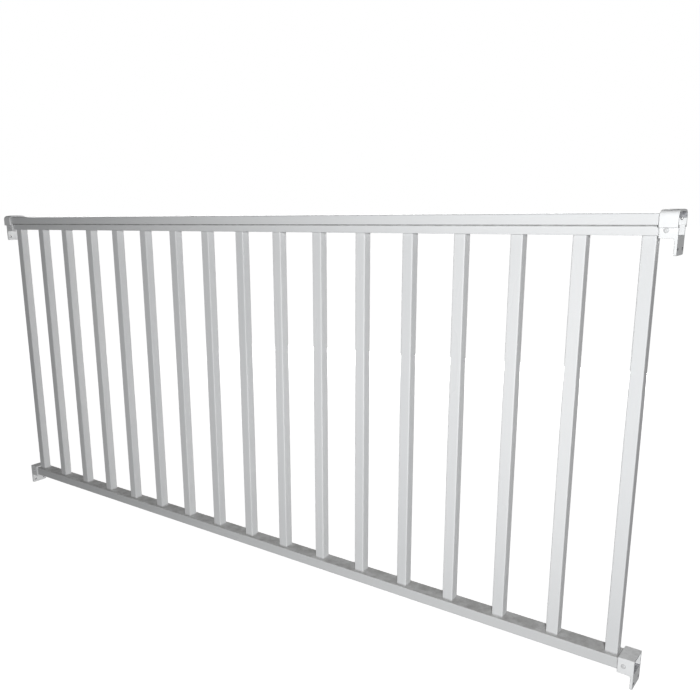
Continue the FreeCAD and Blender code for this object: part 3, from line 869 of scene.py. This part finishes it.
levels = [(channel_high.y + SLEEVE, upper_screw), (lower_high.y + SLEEVE, lower_screw)]
places = []
for x in (POST_TO_SCREW, length - POST_TO_SCREW):
    for face, height in levels:
        places += [(x, -face, height), (x, face, height)]
places_mesh = bpy.data.meshes.new("screw_places")
places_mesh.from_pydata(places, [], [])
places_object = bpy.data.objects.new("screw_places", places_mesh)
scene.collection.objects.link(places_object)
print("places for", len(places), "screws")

# %% [markdown]
# ## The screws' finish
#
# The heads are painted white like the sleeves. A driver has been in the recess and scraped its
# edges, so there and on the flange's rim a little steel shows through.

# %% Screw material
STEEL = (0.50, 0.50, 0.51, 1.0)
STEEL_ROUGHNESS = 0.35
PAINT_ROUGHNESS = 0.38
PAINT_PATCHES = 900.0
PAINT_RELIEF = 0.00002
WEAR_RADIUS = 0.00025
WEAR_GAIN = 4.0
HEAD_DUST_AMOUNT = 0.4
HEAD_DUST = 300.0


def make_screw_paint(name, white, patch):
    """White paint over steel, worn through at the edges."""
    material, tree = new_material(name)
    soft = use(tree, edge_group, {"Radius": WEAR_RADIUS, "Gain": WEAR_GAIN})
    patches = use(tree, cloud_group, {"Scale": PAINT_PATCHES, "Stretch": EVEN})["Patches"]
    wear = math_node(tree, "MULTIPLY", soft["Edge"], patches)
    top_dust_and_shade = use(tree, dust_and_shade_group, {"Amount": HEAD_DUST_AMOUNT, "Scale": HEAD_DUST})["Dust And Shade"]
    colour = mix_colour(tree, patches, patch, white)
    colour = mix_colour(tree, wear, colour, STEEL)
    colour = mix_colour(tree, top_dust_and_shade, colour, DUST_AND_SHADE_TINT)
    shine = mix_value(tree, wear, PAINT_ROUGHNESS, STEEL_ROUGHNESS)
    shine = mix_value(tree, top_dust_and_shade, shine, DUST_ROUGHNESS)
    finish_surface(tree, colour, shine, wear, patches, PAINT_RELIEF, soft["Normal"], 0.0)
    return material


screw_paint = make_screw_paint("screw_paint", grey(0.80), grey(0.70))
print("made", screw_paint.name)

# %% [markdown]
# ## Cutting the recess and setting eight screws
#
# Both jobs suit Geometry Nodes. The tree cuts a cross and a small pit from the turned screw,
# marks its sharp edges, and copies it to every point of the places mesh. Each copy is stood up
# along the face that it sits on, and a random number with a fixed seed decides how far it was
# turned when it went tight, because no two screws stop at the same angle.

# %% Geometry tree for the screws
SHARP_BEND = 0.6
PIT_SIDES = 16
PIT_TOP = 1.1
PIT_BOTTOM = 0.4


def make_screw_tree():
    """Cuts a cross recess from a screw and sets one copy at every point of an object."""
    tree = bpy.data.node_groups.new("set_screws", "GeometryNodeTree")
    tree.interface.new_socket("Geometry", in_out="INPUT", socket_type="NodeSocketGeometry")
    tree.interface.new_socket("Places", in_out="INPUT", socket_type="NodeSocketObject")
    for label in ("Head Top", "Recess Length", "Recess Width", "Recess Depth"):
        tree.interface.new_socket(label, in_out="INPUT", socket_type="NodeSocketFloat")
    tree.interface.new_socket("Seed", in_out="INPUT", socket_type="NodeSocketInt")
    tree.interface.new_socket("Material", in_out="INPUT", socket_type="NodeSocketMaterial")
    tree.interface.new_socket("Geometry", in_out="OUTPUT", socket_type="NodeSocketGeometry")
    given = tree.nodes.new("NodeGroupInput").outputs
    result = tree.nodes.new("NodeGroupOutput").inputs

    deep = math_node(tree, "MULTIPLY", given["Recess Depth"], 2.0)
    bars = []
    for sides in (("Recess Length", "Recess Width"), ("Recess Width", "Recess Length")):
        size = add(tree, "ShaderNodeCombineXYZ", {0: given[sides[0]], 1: given[sides[1]], 2: deep})
        bar = add(tree, "GeometryNodeMeshCube", {"Size": size.outputs[0]})
        bars.append(bar.outputs["Mesh"])
    pit = add(tree, "GeometryNodeMeshCone", {
        "Vertices": PIT_SIDES,
        "Radius Top": math_node(tree, "MULTIPLY", given["Recess Width"], PIT_TOP),
        "Radius Bottom": math_node(tree, "MULTIPLY", given["Recess Width"], PIT_BOTTOM),
        "Depth": given["Recess Depth"],
    })
    pit_drop = math_node(tree, "MULTIPLY", given["Recess Depth"], -1.5)
    pit_place = add(tree, "ShaderNodeCombineXYZ", {2: pit_drop})
    lowered = add(tree, "GeometryNodeTransform", {
        "Geometry": pit.outputs["Mesh"], "Translation": pit_place.outputs[0],
    })
    cutters = []
    lift = add(tree, "ShaderNodeCombineXYZ", {2: given["Head Top"]}).outputs[0]
    for part in bars + [lowered.outputs[0]]:
        raised = add(tree, "GeometryNodeTransform", {"Geometry": part, "Translation": lift})
        cutters.append(raised.outputs[0])
    cut = add(tree, "GeometryNodeMeshBoolean", {"Mesh 1": given["Geometry"]}, operation="DIFFERENCE")
    for part in cutters:
        tree.links.new(part, cut.inputs["Mesh 2"])

    smooth = add(tree, "GeometryNodeSetShadeSmooth", {
        0: cut.outputs[0], "Shade Smooth": True,
    }, domain="FACE")
    bend = add(tree, "GeometryNodeInputMeshEdgeAngle").outputs["Unsigned Angle"]
    sharp = math_node(tree, "GREATER_THAN", bend, SHARP_BEND)
    edged = add(tree, "GeometryNodeSetShadeSmooth", {
        0: smooth.outputs[0], "Selection": sharp, "Shade Smooth": False,
    }, domain="EDGE")

    position = add(tree, "GeometryNodeInputPosition").outputs[0]
    side = add(tree, "ShaderNodeSeparateXYZ", {0: position}).outputs["Y"]
    outward = add(tree, "ShaderNodeCombineXYZ", {1: math_node(tree, "SIGN", side)}).outputs[0]
    upright = add(tree, "FunctionNodeAlignRotationToVector", {"Vector": outward}, axis="Z")
    random = add(tree, "FunctionNodeRandomValue", {"Min": 0.0, "Max": math.tau, "Seed": given["Seed"]})
    angle = [output for output in random.outputs if output.enabled][0]
    turned = add(tree, "FunctionNodeAxisAngleToRotation", {"Angle": angle})
    facing = add(tree, "FunctionNodeRotateRotation", {
        "Rotation": upright.outputs[0], "Rotate By": turned.outputs[0],
    }, rotation_space="LOCAL")

    spots = add(tree, "GeometryNodeObjectInfo", {"Object": given["Places"]}).outputs["Geometry"]
    copies = add(tree, "GeometryNodeInstanceOnPoints", {
        "Points": spots, "Instance": edged.outputs[0], "Rotation": facing.outputs[0],
    })
    real = add(tree, "GeometryNodeRealizeInstances", {"Geometry": copies.outputs[0]})
    painted = add(tree, "GeometryNodeSetMaterial", {
        "Geometry": real.outputs[0], "Material": given["Material"],
    })
    tree.links.new(painted.outputs[0], result["Geometry"])
    return tree


screw_tree = make_screw_tree()
print("tree", screw_tree.name, "has", len(screw_tree.nodes), "nodes")

# %% [markdown]
# The tree works as a modifier on the one screw. Its result is taken over as a plain mesh, and
# the helper objects go, so that only the finished screws are left.

# %% Set the screws
SCREW_SEED = 5
screw_values = {
    "Places": places_object, "Head Top": head_top, "Recess Length": 0.0042, "Recess Width": 0.0010,
    "Recess Depth": 0.0009, "Seed": SCREW_SEED, "Material": screw_paint,
}

maker = bpy.data.objects.new("screw_maker", screw_mesh)
scene.collection.objects.link(maker)
modifier = maker.modifiers.new("set_screws", "NODES")
modifier.node_group = screw_tree
for item in screw_tree.interface.items_tree:
    if item.in_out == "INPUT" and item.name in screw_values:
        modifier[item.identifier] = screw_values[item.name]
finished = bpy.data.meshes.new_from_object(maker.evaluated_get(bpy.context.evaluated_depsgraph_get()))
bpy.data.objects.remove(maker)
bpy.data.objects.remove(places_object)

set_screws = bpy.data.objects.new("set_screws", finished)
scene.collection.objects.link(set_screws)
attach(set_screws, "root")
print("set", len(places), "screws:", len(finished.polygons), "faces")
